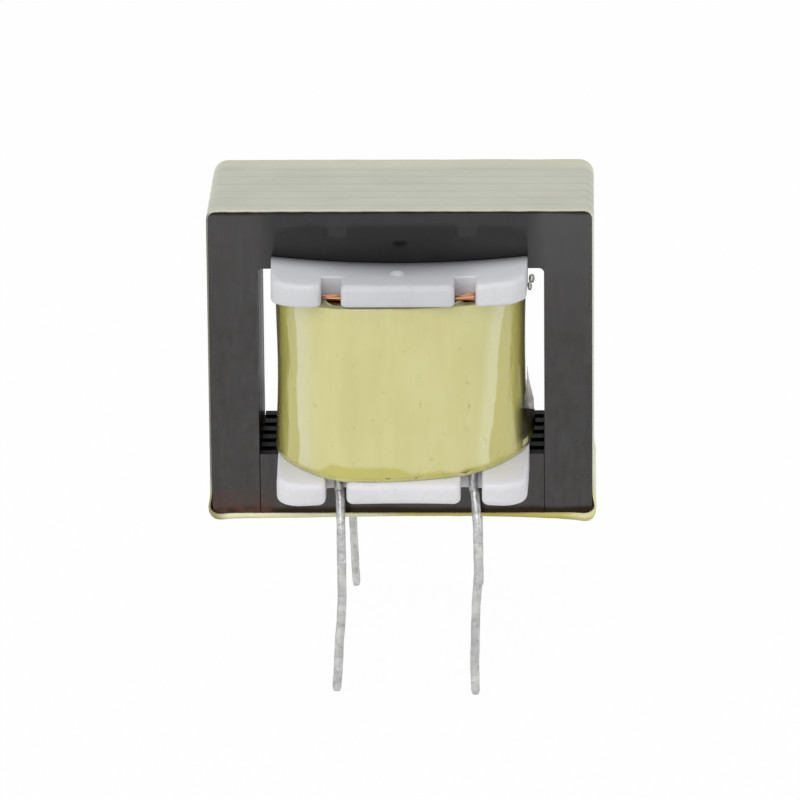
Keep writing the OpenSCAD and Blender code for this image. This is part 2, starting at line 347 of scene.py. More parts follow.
def piece(name, verts, faces, material, replaced=(), sharp=None):
    """A mesh in millimetres that rides on the part, wears its material and hides the nodes it
    replaces.
    """
    mesh = bpy.data.meshes.new(name)
    mesh.from_pydata([Vector(v) * MM for v in verts], [], faces)
    mesh.validate()
    mesh.shade_smooth()
    if sharp:
        shape = bmesh.new()
        shape.from_mesh(mesh)
        for edge in shape.edges:
            edge.smooth = edge.calc_face_angle(0) < math.radians(sharp)
        shape.to_mesh(mesh)
        shape.free()
    obj = bpy.data.objects.new(name, mesh)
    bpy.context.scene.collection.objects.link(obj)
    obj.data.materials.append(material)
    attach(obj, "root")
    if replaced:
        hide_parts(*replaced)
    print(name, "has", len(mesh.vertices), "vertices")
    return obj


# %% [markdown]
# ## The bobbin's outline
#
# The bobbin is moulded in one: a tube round the core's tongue and two flanges that flare
# away from the coil. Seen from above, a flange is a rectangle with rounded corners and two
# notches for the leads. Curve objects could draw it, but a list of corners, each with its
# radius, is shorter to read and to change.

# %% Bobbin: outlines
FLARE = math.tan(math.radians(5))        # how far the flanges lean away from the coil
PLATE_IN = 2.98                          # half the coil's room next to the core
STEP = -FACE_Y + 0.05                    # where the flange steps up in front of the yoke
RIM = bob_high.y
RUN = RIM - STEP


def rounded_path(corners, steps=7):
    """A closed outline from (x, y, radius) corners."""
    path = []
    count = len(corners)
    for i, (cx, cy, r) in enumerate(corners):
        here = Vector((cx, cy))
        if r == 0:
            path.append(here)
            continue
        before = (Vector(corners[i - 1][:2]) - here).normalized()
        after = (Vector(corners[(i + 1) % count][:2]) - here).normalized()
        half = before.angle(after) / 2
        reach = r / math.tan(half)
        centre = here + (before + after).normalized() * (r / math.sin(half))
        start = here + before * reach - centre
        end = here + after * reach - centre
        sweep = start.angle_signed(end)
        for k in range(steps + 1):
            spin = Matrix.Rotation(-sweep * k / steps, 2)
            path.append(centre + spin @ start)
    return path


def divided(path, longest):
    """The same outline with no side longer than the given length."""
    out = []
    for i, a in enumerate(path):
        b = path[(i + 1) % len(path)]
        parts = max(1, math.ceil((b - a).length / longest))
        out += [a.lerp(b, k / parts) for k in range(parts)]
    return out


def tab_corners(left_side, right_side, notches, mouth, end):
    """A flange's outline outside the core, at the front (end -1) or the rear (end 1)."""
    out = list(left_side)
    for centre, width, length, wide in notches:
        a, b = centre - width / 2, centre + width / 2
        out += [(a, RIM, wide), (a, RIM - length, 0.1), (b, RIM - length, 0.1), (b, RIM, mouth)]
    out += right_side
    return [(px, py * end, r) for px, py, r in out]


print("flanges run", round(RUN, 2), "mm past the core")

# %% [markdown]
# ## A slab with soft edges
#
# A moulding has no sharp edge: the tool's corners are rounded, and so is the plastic. A
# bevel modifier would round a box, but it tears on a face that is ruled and cut by
# notches. So each slab is built in rings: the outline is drawn in a little as it nears the
# upper and lower face, and the face is then filled with triangles over a grid of points.

# %% Bobbin: drawing an outline in, and filling it


def inside(point, path):
    """Whether a point lies within a closed outline."""
    hit = False
    for i, a in enumerate(path):
        b = path[i - 1]
        if (a.y > point.y) != (b.y > point.y):
            if point.x < (b.x - a.x) * (point.y - a.y) / (b.y - a.y) + a.x:
                hit = not hit
    return hit


def softness(p):
    """How fully a flange's edge is rounded: fully at the rim, hardly beside the core."""
    first, last = (5.9, 6.9) if abs(p.x) < 3.0 else (4.0, 6.0)
    return min(1, max(0.25, (abs(p.y) - first) / (last - first)))


def shrunk(path, inset):
    """The outline drawn in all round. Where it lies along the core's face it stays put."""
    out = []
    for i, here in enumerate(path):
        a = (here - path[i - 1]).normalized()
        b = (path[(i + 1) % len(path)] - here).normalized()
        n1, n2 = Vector((-a.y, a.x)), Vector((-b.y, b.x))
        push = (n1 + n2) / max(0.3, 1 + n1.dot(n2)) * inset * softness(here)
        if abs(abs(here.y) - STEP) < 1e-4:
            push.y = 0
        out.append(here + push)
    return out


def filled(path, grid):
    """Points inside an outline, and triangles over both: outline first, then points."""
    low = Vector((min(p.x for p in path), min(p.y for p in path)))
    size = Vector((max(p.x for p in path), max(p.y for p in path))) - low
    nx, ny = (max(1, int(d / grid)) for d in size)
    extra = []
    for i in range(1, nx):
        for j in range(1, ny):
            p = low + Vector((size.x * i / nx, size.y * j / ny))
            if inside(p, path) and min((p - q).length for q in path) > grid * 0.45:
                extra.append(p)
    count = len(path)
    rim = [(i, (i + 1) % count) for i in range(count)]
    result = geometry.delaunay_2d_cdt(list(path) + extra, rim, [], 1, 1e-6)
    source = [ids[0] for ids in result[3]]
    return extra, [tuple(source[i] for i in tri) for tri in result[2]]


print("a flange's edge is rounded by", softness(Vector((0, RIM))), "at the rim")

# %% [markdown]
# ### Building the slab
#
# The rings are joined by a strip of four-sided faces, from the lower face's edge up to the
# upper one's. Blender could bridge edge loops in the same way, but reckoning the faces
# keeps their order, so the result is the same each time.

# %% Bobbin: the slab


def slab(path, grid, low, high, round_low=0.0, round_high=0.0, steps=5):
    """A solid over an outline, between the heights low(x, y) and high(x, y), with its
    lower and upper edges rounded to the two radii."""
    count = len(path)
    if sum(path[i - 1].cross(path[i]) for i in range(count)) < 0:
        path = path[::-1]
    new_verts, new_faces, loops, caps = [], [], [], []
    for level, radius, way in ((low, round_low, 1), (high, round_high, -1)):
        last = steps if radius else 0
        turns = range(last, -1, -1) if way > 0 else range(last + 1)
        for k in turns:
            angle = math.pi / 2 * (k / last if last else 1)
            loop = shrunk(path, radius * (1 - math.cos(angle))) if radius else path
            drop = radius * (1 - math.sin(angle))
            loops.append(len(new_verts))
            new_verts += [(p.x, p.y, level(p.x, p.y) + way * drop * softness(q))
                          for p, q in zip(loop, path)]
            if k == last:
                caps.append((loops[-1], loop, level))
    for a, b in zip(loops, loops[1:]):
        for i in range(count):
            j = (i + 1) % count
            new_faces.append((a + i, a + j, b + j, b + i))
    for n, (start, loop, level) in enumerate(caps):
        extra, tris = filled(loop, grid)
        base = len(new_verts)
        new_verts += [(p.x, p.y, level(p.x, p.y)) for p in extra]
        points = list(loop) + extra
        for tri in tris:
            a, b, c = (points[i] for i in tri)
            ordered = tri if ((b - a).cross(c - a) > 0) == (n == 1) else tri[::-1]
            new_faces.append(tuple(start + i if i < count else base + i - count
                                   for i in ordered))
    return new_verts, new_faces


verts, faces = [], []


def keep(new_verts, new_faces):
    """Adds a shape to the piece in hand."""
    base = len(verts)
    verts.extend(new_verts)
    faces.extend(tuple(i + base for i in f) for f in new_faces)


test_square = [Vector(p) for p in ((0, 0), (1, 0), (1, 1), (0, 1))]
print("a plain slab has", len(slab(test_square, 2, lambda px, py: 0, lambda px, py: 1)[1]), "faces")

# %% [markdown]
# ## The two flanges
#
# The outer faces are ruled: bowed next to the core and almost flat at the rim, as mouldings
# that shrink round a core often are. A lattice could bend a flat plate to that, but two
# small formulas say it exactly: one height at the sides, one in the middle, and a straight
# run between them.

# %% Bobbin: flanges


def flange_levels(way, outer_side, outer_mid, rim_side, rim_mid, half_w, mid):
    """A flange's lower and upper face, as heights over x and y."""
    def inner(px, py):
        return PLATE_IN + max(0, abs(py) - STEP) * FLARE

    def outer(px, py):
        t = min(1, max(0, (abs(py) - STEP) / RUN))
        u = min(1, abs(px - mid) / half_w) ** 2
        near = outer_mid + (outer_side - outer_mid) * u
        far = rim_mid + (rim_side - rim_mid) * u
        return near + (far - near) * t

    below, above = (inner, outer) if way > 0 else (outer, inner)
    return (lambda px, py: CORE_MID + way * below(px, py),
            lambda px, py: CORE_MID + way * above(px, py))


FLANGES = {  # outer face heights from the core's middle, at the sides and in the middle
    1: dict(outer_side=4.09, outer_mid=3.83, rim_side=4.2, rim_mid=4.15, half_w=4.66, mid=-0.02),
    -1: dict(outer_side=4.06, outer_mid=3.8, rim_side=4.25, rim_mid=4.1, half_w=4.6, mid=0.09),
}
SIDES = {  # each flange's left and right side, from the core to the rim: x, y, radius
    1: ([(-4.72, STEP, 0), (-4.58, RIM, 1.3)],
        [(3.3, RIM - 0.2, 0.9), (4.2, RIM - 0.5, 0.9), (4.6, RIM - 1.45, 1.1),
         (4.66, STEP, 0)]),
    -1: ([(-4.51, STEP, 0), (-4.48, RIM, 0.95)], [(4.62, RIM, 1.0), (4.69, STEP, 0)]),
}
NOTCHES = {  # each notch's middle, width, length and the radius of its left mouth, in mm
    1: ((-2.42, 0.72, 1.6, 0.42), (2.41, 0.76, 1.6, 0.26)),
    -1: ((-2.31, 0.76, 1.85, 0.28), (2.6, 0.78, 1.85, 0.28)),
}
MOUTH = 0.26                             # the radius of each notch's right mouth
ROUNDED = {1: (0.12, 0.24), -1: (0.22, 0.24)}   # radii of the lower and upper edges
PLATE_OUT = 3.48                         # the plate within the core, from the core's middle
LONGEST, GRID = 0.3, 0.4                 # mm: an outline's longest side, and a face's points

for way, sizes in FLANGES.items():
    low, high = flange_levels(way, **sizes)
    for end in (-1, 1):
        corners = tab_corners(*SIDES[way], NOTCHES[way], MOUTH, end)
        outline = divided(rounded_path(corners), LONGEST)
        keep(*slab(outline, GRID, low, high, *ROUNDED[way]))
    half_w, mid = sizes["half_w"], sizes["mid"]
    reach = STEP + 0.02
    plate = [Vector(p) for p in ((mid - half_w, -reach), (mid + half_w, -reach),
                                 (mid + half_w, reach), (mid - half_w, reach))]
    z_low, z_high = sorted((CORE_MID + way * PLATE_IN, CORE_MID + way * PLATE_OUT))
    keep(*slab(plate, 0.8, lambda px, py: z_low, lambda px, py: z_high))
print("flanges:", len(faces), "faces")

# %% [markdown]
# ## The tube and the gate's stub
#
# The tube that carries the coil is hidden, but light passes through the flanges to it, so
# it is there. On top is the stub where the plastic was fed in and broken off: two uneven
# discs do for it, where a sculpted crater would be lost at this size.

# %% Bobbin: tube and gate
TUBE_X, TUBE_Y = 2.35, 3.25              # half sizes of the tube round the tongue
wall = rounded_path([(BOB_X - TUBE_X, -TUBE_Y, 0.3), (BOB_X + TUBE_X, -TUBE_Y, 0.3),
                     (BOB_X + TUBE_X, TUBE_Y, 0.3), (BOB_X - TUBE_X, TUBE_Y, 0.3)])
keep(*slab(wall, 1.0, lambda px, py: CORE_MID - PLATE_IN - 0.05,
           lambda px, py: CORE_MID + PLATE_IN + 0.05))

GATE = Vector((BOB_X - 0.14, -STEP - 2.1))   # the moulding gate's stub, broken off unevenly
for radius, top in ((0.27, 0.05), (0.18, 0.1)):
    turns = [2 * math.pi * k / 24 for k in range(24)]
    ring = [GATE + radius * Vector((math.cos(a), math.sin(a))) for a in turns]
    keep(*slab(ring, 0.2, lambda px, py: CORE_MID + 3.7,
               lambda px, py: CORE_MID + 3.99 + top, round_high=0.06))
print("gate at", tuple(round(v, 2) for v in GATE), "mm")

# %% [markdown]
# ## Nylon
#
# White nylon, moulded: half matt and a little translucent, so its shadows are pale. Full
# subsurface scattering would be slow and softer than the real thing, so only a small share
# is let in, half a millimetre deep, and the rest is plain colour with haze in patches 2 mm
# across. The upper flange is painted darker and bluer than the lower one, most of all
# between the notches, and lighter towards its right end: painted shade and light.

# %% Nylon: ground tones
nylon, shader, at = new_material("moulded_nylon", roughness=0.45, ior=1.45)
x, y, z = add(nylon, "SeparateXYZ", at).node.outputs
haze = add(nylon, "TexNoise", named={"Vector": at, "Scale": 0.5, "Detail": 3})
haze = add(nylon, "MapRange", haze, 0.35, 0.65)
fine = add(nylon, "TexNoise", named={"Vector": at, "Scale": 5, "Detail": 4})
fine = add(nylon, "MapRange", fine, 0.35, 0.65)
out_x = add(nylon, "Math", x, operation="ABSOLUTE")
upper = add(nylon, "MapRange", z, 5, 8, interpolation_type="SMOOTHSTEP")
to_right = add(nylon, "MapRange", x, -1, 1, interpolation_type="SMOOTHSTEP")
past_notches = add(nylon, "MapRange", out_x, 2.2, 3.0, interpolation_type="SMOOTHSTEP")

# painted shade and light: the upper flange darker and bluer than the lower one, lighter towards its
# right end
ends = painted(nylon, "d0d1d3", ("d8d9db", to_right))
shaded_upper_flange = painted(nylon, "c6c7cc", ("cecfd2", haze), (ends, past_notches))
lower_flange = painted(nylon, "dadadd", ("e0e0e1", haze))
tone = painted(nylon, lower_flange, (shaded_upper_flange, upper), ("bcbcc4", fine, 0.1))
print("nylon: upper flange cooler than the lower one")

# %% [markdown]
# ### Shelves, and the thin web by the core
#
# Faces that look up are lit from the room and read lighter: painted light. Next to the core
# the flange lies in the steel wall's shade and mirrors its dark face. That could be left to
# the lamps, but the light would need many bounces to find its way, so a dark coat of painted
# shade fades outwards.

# %% Nylon: shelves and painted shade by the core
normal = add(nylon, "NewGeometry", out="Normal")
facing_up = add(nylon, "SeparateXYZ", normal, out="Z")
flat_up = add(nylon, "MapRange", facing_up, 0.2, 0.8, interpolation_type="SMOOTHSTEP")
low_down = add(nylon, "MapRange", z, 5, 4, interpolation_type="SMOOTHSTEP")
to_ends = add(nylon, "MapRange", out_x, 1.5, 3.5, interpolation_type="SMOOTHSTEP")

# painted shade: dark next to the core's face, fading outwards
out_y = add(nylon, "Math", y, operation="ABSOLUTE")
reach = add(nylon, "Math", out_x, -0.42, 3.5, operation="MULTIPLY_ADD")
out_y = add(nylon, "Math", out_y, STEP, operation="SUBTRACT")
out_y = add(nylon, "Math", out_y, reach, operation="DIVIDE")
core_wall_shade = add(nylon, "Math", 1.0, out_y, operation="SUBTRACT", use_clamp=True)
core_wall_shade = add(nylon, "Math", core_wall_shade, 1.9, operation="POWER")
on_top = add(nylon, "MapRange", z, 8, 9, interpolation_type="SMOOTHSTEP")

gate_x = add(nylon, "Math", x, GATE.x, operation="SUBTRACT")
gate_x = add(nylon, "Math", gate_x, 2, operation="POWER")
gate_y = add(nylon, "Math", y, GATE.y, operation="SUBTRACT")
gate_y = add(nylon, "Math", gate_y, 2, operation="POWER")
off_gate = add(nylon, "Math", gate_x, gate_y, operation="ADD")
off_gate = add(nylon, "MapRange", off_gate, 0.07, 0.1, interpolation_type="SMOOTHSTEP")
tone = painted(nylon, tone, ("e8e8f2", flat_up, low_down, 0.6),
               ("dedfe4", flat_up, upper, to_ends, 0.5),
               ("1a1a24", core_wall_shade, on_top, off_gate, 0.95))
print("nylon: the web darkens towards y", round(-STEP, 2), "mm")

# %% [markdown]
# ### Dirt, and the moulding itself
#
# Nylon picks up specks in handling, about 0.3 mm across and few. They are noise with a
# high threshold, faint enough not to look like a pattern. The finish is then complete and
# goes on to the mesh, whose edges are kept sharp where they turn by more than 50 degrees.

# %% Nylon: handling dirt, and the moulding itself
dirt = add(nylon, "TexNoise", named={"Vector": at, "Scale": 3.1, "Detail": 5, "Roughness": 0.65})
dirt = add(nylon, "MapRange", dirt, 0.62, 0.74)
connect(shader, "Base Color", painted(nylon, tone, ("a39a93", dirt, 0.25)))
connect(shader, "Specular IOR Level", 0.35)
connect(shader, "Subsurface Weight", 0.15)
connect(shader, "Subsurface Radius", (0.5 * MM, 0.5 * MM, 0.6 * MM))
connect(shader, "Normal", add(nylon, "Bump", named={"Height": fine, "Distance": 0.003 * MM}))
piece("bobbin_moulding", verts, faces, nylon, ["bobbin"], sharp=50)

# %% [markdown]
# ## The coil's shape
#
# The coil is wound by machine on an oblong tube, so it comes out as a rounded oblong,
# fuller on one side. An ellipse would be simpler but too regular. A few points, joined by
# a smooth curve, give the wall its uneven swell, and the points are then spread evenly so
# that the mesh has even faces.

# %% Coil: the outline from above


def smooth_path(points, steps=10):
    """A Catmull-Rom curve through the points."""
    pts = [points[0]] + list(points) + [points[-1]]
    out = []
    for i in range(1, len(pts) - 2):
        p0, p1, p2, p3 = pts[i - 1:i + 3]
        for k in range(steps):
            t = k / steps
            out.append(0.5 * ((2 * p1) + (p2 - p0) * t + (2 * p0 - 5 * p1 + 4 * p2 - p3) * t * t
                              + (3 * p1 - p0 - 3 * p2 + p3) * t ** 3))
    out.append(pts[-2])
    return out


def resample(path, count):
    """Evenly spaced points along a closed path, from its first point."""
    lengths = [(path[i] - path[i - 1]).length for i in range(len(path))]
    lengths = lengths[1:] + lengths[:1]
    total = sum(lengths)
    out, i, done = [], 0, 0.0
    for k in range(count):
        goal = total * k / count
        while done + lengths[i] < goal:
            done += lengths[i]
            i += 1
        a, b = path[i], path[(i + 1) % len(path)]
        out.append(a.lerp(b, (goal - done) / max(lengths[i], 1e-9)))
    return out


COIL_PLAN = [  # the coil seen from above: right side, front, left side, then the rear
    (4.5, 0.6), (4.57, -1.6), (4.5, -3.4), (3.6, -5.05), (2.3, -6.1), (0.6, -6.6),
    (-1.2, -6.75), (-2.5, -6.5), (-3.6, -5.5), (-4.35, -4.2), (-4.6, -2.4), (-4.55, 2.6),
    (-3.7, 5.2), (-1.6, 6.5), (1.6, 6.5), (3.6, 5.2), (4.4, 2.6)]
AROUND, ROWS = 300, 34
plan = [Vector(p) for p in COIL_PLAN]
coil_loop = resample(smooth_path(plan + plan[:1])[:-1], AROUND)


def coil_point(i, inset=0.0):
    """Point i of the coil's outline, drawn in by the inset."""
    along = (coil_loop[(i + 2) % AROUND] - coil_loop[i - 2]).normalized()
    return coil_loop[i] + Vector((along.y, -along.x)) * inset


def coil_heights(py):
    """The lowest and highest the tape reaches, which follows the flanges' flare."""
    room = PLATE_IN - 0.03 + max(0, abs(py) - STEP) * FLARE
    return CORE_MID - room, CORE_MID + room


print("coil:", round(max(p.x for p in plan) - min(p.x for p in plan), 2), "mm wide")

# %% [markdown]
# ## The tape's wall
#
# Several turns of tape make a wall that is drawn in a little at mid height, ripples by a
# few hundredths of a millimetre, has its end folded over low down on the right, and stands
# up in the front notches. Cloth simulation could find such a shape, but a grid of points,
# each moved by a few smooth bumps, gives it at once and the same way each time.

# %% Coil: the wall
TAPE_WALL = 0.2                          # mm: all the turns of tape together
verts, faces = [], []
for layer, inset in ((0, 0.0), (1, TAPE_WALL)):
    for j in range(ROWS + 1):
        v = j / ROWS
        for i in range(AROUND):
            bearing = math.atan2(coil_loop[i].y, coil_loop[i].x)
            c, s = math.cos(bearing), math.sin(bearing)
            # fuller at the foot, most of all on the right, drawn in at mid height, rippled
            lift = (0.03 + 0.07 * max(0, c)) * (1 - v) ** 3 - 0.05 * math.sin(math.pi * v)
            lift += 0.03 * noise.noise(Vector((4 * c, 4 * s, 2.4 * v)))
            # the folded end: low down, a third of a radian wide, towards the front right
            fold = math.exp(-((v - 0.09) / 0.09) ** 4) * math.exp(-((bearing + 0.3) / 0.3) ** 2)
            if layer:
                lift = fold = 0
            px, py = coil_point(i, inset - lift - 0.28 * fold)
            low, high = coil_heights(py)
            lick = 0.0                   # a little tape stands up in the front notches
            if py < -4 and layer == 0:
                lick = (0.2 * math.exp(-((px + 2.72) / 0.2) ** 4)
                        + 0.12 * math.exp(-((px - 2.2) / 0.16) ** 4)) * v ** 8
            ragged = 0.03 * noise.noise(Vector((9 * c, 9 * s, 7)))
            rise = (high - low + 0.03) * v
            verts.append((px, py, low - 0.02 + ragged * (1 - v) + rise + lick))
print("coil wall:", len(verts), "points")

# %% [markdown]
# ### Joining the points
#
# Each four neighbours make a face. The outer skin looks outwards and the inner one
# inwards, which is decided by the order of a face's corners, and two rings of faces close
# the wall at the foot and at the top. A solidify modifier would make an inner skin that
# follows the fold; real turns under it lie flat.

# %% Coil: the faces
LAYER = AROUND * (ROWS + 1)              # points in the outer skin; the inner one follows
TOP_ROW = ROWS * AROUND
for layer in (0, 1):
    base = layer * LAYER
    for j in range(ROWS):
        for i in range(AROUND):
            k = (i + 1) % AROUND
            quad = (base + j * AROUND + i, base + j * AROUND + k,
                    base + (j + 1) * AROUND + k, base + (j + 1) * AROUND + i)
            faces.append(quad[::-1] if layer == 0 else quad)
for i in range(AROUND):
    k = (i + 1) % AROUND
    faces.append((i, k, LAYER + k, LAYER + i))
    faces.append((TOP_ROW + k, TOP_ROW + i, LAYER + TOP_ROW + i, LAYER + TOP_ROW + k))
print("coil wall:", len(faces), "faces")

# %% [markdown]
# ## Polyester tape
#
# Clear yellow polyester over an acrylic glue. The film is glossy and the glue under it is
# cloudy, so the eye sees a satin yellow with a sharp clear coat. Real layers of thin
# transparent sheets would be slow and grainy, so the surface is one solid colour with a
# clear coat over it. Smudges are 2 mm across, and the winding streaks 0.6 mm wide and
# 4 mm tall.

# %% Tape: ground
tape, shader, at = new_material("clear_yellow_polyester_tape", roughness=0.2, coat=0.5,
                                ior=1.6)
x, y, z = add(tape, "SeparateXYZ", at).node.outputs
smudge = add(tape, "TexNoise", named={"Vector": at, "Scale": 0.45, "Detail": 3})
smudge = add(tape, "MapRange", smudge, 0.35, 0.65)
upright = add(tape, "VectorMath", at, (1.6, 1.6, 0.25), operation="MULTIPLY")
streak = add(tape, "TexNoise", named={"Vector": upright, "Scale": 1.0, "Detail": 3})
streak = add(tape, "MapRange", streak, 0.35, 0.65)
tone = painted(tape, "cdc884", ("d2ce8e", smudge), ("c5c07a", streak, 0.4))

# past_core and above measure a spot's place: mm beyond the core's face, and mm over the
# wall's lower edge, which drops with the flare.
past_core = add(tape, "Math", y, operation="ABSOLUTE")
past_core = add(tape, "Math", past_core, STEP, operation="SUBTRACT")
past_core = add(tape, "Math", past_core, 0, operation="MAXIMUM")
above = add(tape, "Math", z, coil_heights(0)[0], operation="SUBTRACT")
above = add(tape, "Math", past_core, FLARE, above, operation="MULTIPLY_ADD")
print("tape: lower edge at", round(coil_heights(0)[0], 2), "mm beside the core")

# %% [markdown]
# ### Bands where the tape turns away
#
# Where the wall curves away it mirrors other parts of the room: first a pale band, then a
# darker one with a clear border, because the winding under it is nearly flat there. A
# bright card beside the part would mirror much the same, but the bands could then not be
# placed, so they are painted, with borders that waver by less than a tenth of a millimetre.

# %% Tape: pale and dark bands
slow = add(tape, "VectorMath", at, (0, 0, 1), operation="MULTIPLY")
wobble = add(tape, "TexNoise", named={"Vector": slow, "Scale": 0.4, "Detail": 3})
wobble = add(tape, "MapRange", wobble, 0.35, 0.65)
wobble = add(tape, "Math", wobble, 0.5, operation="SUBTRACT")
wobble = add(tape, "Math", wobble, 0.16, operation="MULTIPLY")
left_x = add(tape, "Math", x, wobble, operation="ADD")
right_x = add(tape, "Math", x, wobble, operation="SUBTRACT")
leaning = add(tape, "Math", z, 5.6, operation="SUBTRACT")
right_x = add(tape, "Math", leaning, -0.085, right_x, operation="MULTIPLY_ADD")

to_right = add(tape, "MapRange", x, -1, 1, interpolation_type="SMOOTHSTEP")
pale_left = add(tape, "MapRange", left_x, -3.0, -3.6, interpolation_type="SMOOTHSTEP")
pale_right = add(tape, "MapRange", right_x, 2.8, 3.35, interpolation_type="SMOOTHSTEP")
pale = add(tape, "Math", pale_left, pale_right, operation="MAXIMUM")
dark_left = add(tape, "MapRange", left_x, -3.69, -3.76, interpolation_type="SMOOTHSTEP")
dark_right = add(tape, "MapRange", right_x, 3.46, 3.53, interpolation_type="SMOOTHSTEP")
beyond = add(tape, "Math", dark_left, dark_right, operation="MAXIMUM")
pale_tone = painted(tape, "d2cfa2", ("dad7a6", to_right))
dark_tone = painted(tape, "b7b15a", ("c2bb66", to_right))
tone = painted(tape, tone, (pale_tone, pale, 0.8), (dark_tone, beyond))
print("tape: bands beyond x -3.7 and 3.5 mm")

# %% [markdown]
# ### Deeper yellow low down, dark at the sides
#
# Glue has gathered along the lower edge, where it is a deeper yellow with a wavy border.
# The wall's sides face the black core and mirror it, most of all low on the right, where
# the fold stands off. Reflections of the core do part of this by themselves; the coats
# add what the gap between coil and leg keeps from the lamps.

# %% Tape: lower edge and sides
mound_left = add(tape, "MapRange", x, -3.2, -2.4, interpolation_type="SMOOTHSTEP")
mound_right = add(tape, "MapRange", x, 0.7, -0.2, interpolation_type="SMOOTHSTEP")
mound = add(tape, "Math", mound_left, mound_right, operation="MULTIPLY")
wavy = add(tape, "TexNoise", named={"Vector": at, "Scale": 0.9, "Detail": 2})
wavy = add(tape, "MapRange", wavy, 0.35, 0.65)
wavy = add(tape, "Math", wavy, 0.16, above, operation="MULTIPLY_ADD")
wavy = add(tape, "Math", mound, -0.28, wavy, operation="MULTIPLY_ADD")
glue = add(tape, "MapRange", wavy, 0.4, 0.22, interpolation_type="SMOOTHSTEP")

side = add(tape, "Math", x, operation="ABSOLUTE")
side = add(tape, "MapRange", side, 3.92, 4.62, interpolation_type="SMOOTHSTEP")
side = add(tape, "Math", side, 2.0, operation="POWER")
shade = add(tape, "MapRange", z, 4.6, 5.6, interpolation_type="SMOOTHSTEP")
shade = add(tape, "Math", shade, 0.25, x, operation="MULTIPLY_ADD")
shade = add(tape, "MapRange", shade, 3.98, 4.56, interpolation_type="SMOOTHSTEP")
shade_foot = add(tape, "MapRange", z, 3.0, 3.5, interpolation_type="SMOOTHSTEP")
shade_top = add(tape, "MapRange", z, 5.1, 4.2, interpolation_type="SMOOTHSTEP")
tone = painted(tape, tone, ("bcb450", glue, 0.85), ("2f2d1c", side, 0.82),
               ("2a2514", shade, shade_foot, shade_top, 0.92))
print("tape: glue up to 0.4 mm, sides dark beyond 3.9 mm")

# %% [markdown]
# ### Edges, painted shadow and glint, and dirt
#
# A painted shadow darkens a thin gap under the upper flange, the cut edge at the bottom is
# pale, and a painted highlight marks a small pale crinkle on the tape's folded end at the
# right. Bits of dust have stuck along the lower edge, where the glue is bare. Each is under
# half a millimetre, too small to be worth a mesh of its own, so all are coats of colour.
# The dust is drawn 0.2 to 0.5 mm coarse, to show.

# %% Tape: gap shadow, fringe and crinkle glint
coil_height = coil_heights(0)[1] - coil_heights(0)[0]
# painted shadow in the thin gap under the upper flange
gap_shadow = add(tape, "Math", coil_height, above, operation="SUBTRACT")
gap_shadow = add(tape, "Math", past_core, 2 * FLARE, gap_shadow, operation="MULTIPLY_ADD")
gap_shadow = add(tape, "MapRange", gap_shadow, 0.13, 0.07, interpolation_type="SMOOTHSTEP")
fringe = add(tape, "MapRange", above, 0.1, 0.05, interpolation_type="SMOOTHSTEP")
# painted highlight: a small pale crinkle on the folded end, low on the right
crinkle_glint = [add(tape, "MapRange", place, start, end, interpolation_type="SMOOTHSTEP")
        for place, start, end in ((x, 4.42, 4.5), (x, 4.68, 4.6), (above, 0.12, 0.2),
                                  (above, 0.42, 0.34), (y, -2, -3))]
tone = painted(tape, tone, ("4a4632", gap_shadow, 0.7), ("ddd9a4", fringe, 0.6), ("c9c59a", *crinkle_glint))
print("tape: wall", round(coil_height, 2), "mm tall beside the core")

# %% [markdown]
# ### Dust, marks and creases
#
# Specks gather in the lowest 0.2 mm, fainter marks half a millimetre across lie anywhere,
# and long soft creases run down the tape. The creases could be in the mesh, but they are
# only hundredths of a millimetre deep, so a bump bends the light and leaves the mesh.

# %% Tape: dust, marks and creases
squat = add(tape, "VectorMath", at, (2.2, 2.2, 5), operation="MULTIPLY")
specks = add(tape, "TexNoise", named={"Vector": squat, "Scale": 1.0, "Detail": 4, "Roughness": 0.6})
specks = add(tape, "MapRange", specks, 0.6, 0.68)
low_edge = add(tape, "MapRange", above, 0.22, 0.1, interpolation_type="SMOOTHSTEP")
marks = add(tape, "TexNoise", named={"Vector": at, "Scale": 2.1, "Detail": 5, "Roughness": 0.6})
marks = add(tape, "MapRange", marks, 0.64, 0.72)
tone = painted(tape, tone, ("37331f", specks, low_edge, 0.8), ("8e8b5a", marks, 0.35))
connect(shader, "Base Color", tone)
connect(shader, "Coat Roughness", 0.08)
flowing = add(tape, "VectorMath", at, (1, 1, 0.5), operation="MULTIPLY")
crease = add(tape, "TexNoise", named={"Vector": flowing, "Scale": 0.8, "Detail": 4})
crease = add(tape, "MapRange", crease, 0.35, 0.65)
connect(shader, "Normal", add(tape, "Bump", named={"Height": crease, "Distance": 0.04 * MM}))
piece("coil_wrap", verts, faces, tape, ["coil_tape"])

# %% [markdown]
# ## The windings
#
# Fine copper wire under clear enamel, wound level, so it reads as close rows with a warm
# varnished sheen. It shows only through the notches. Thousands of turns could be modelled
# one by one, but a wave pattern with a bump does at this size. A wave of scale s repeats
# every 0.314 / s mm, so 2.2 puts the wires 0.14 mm apart.

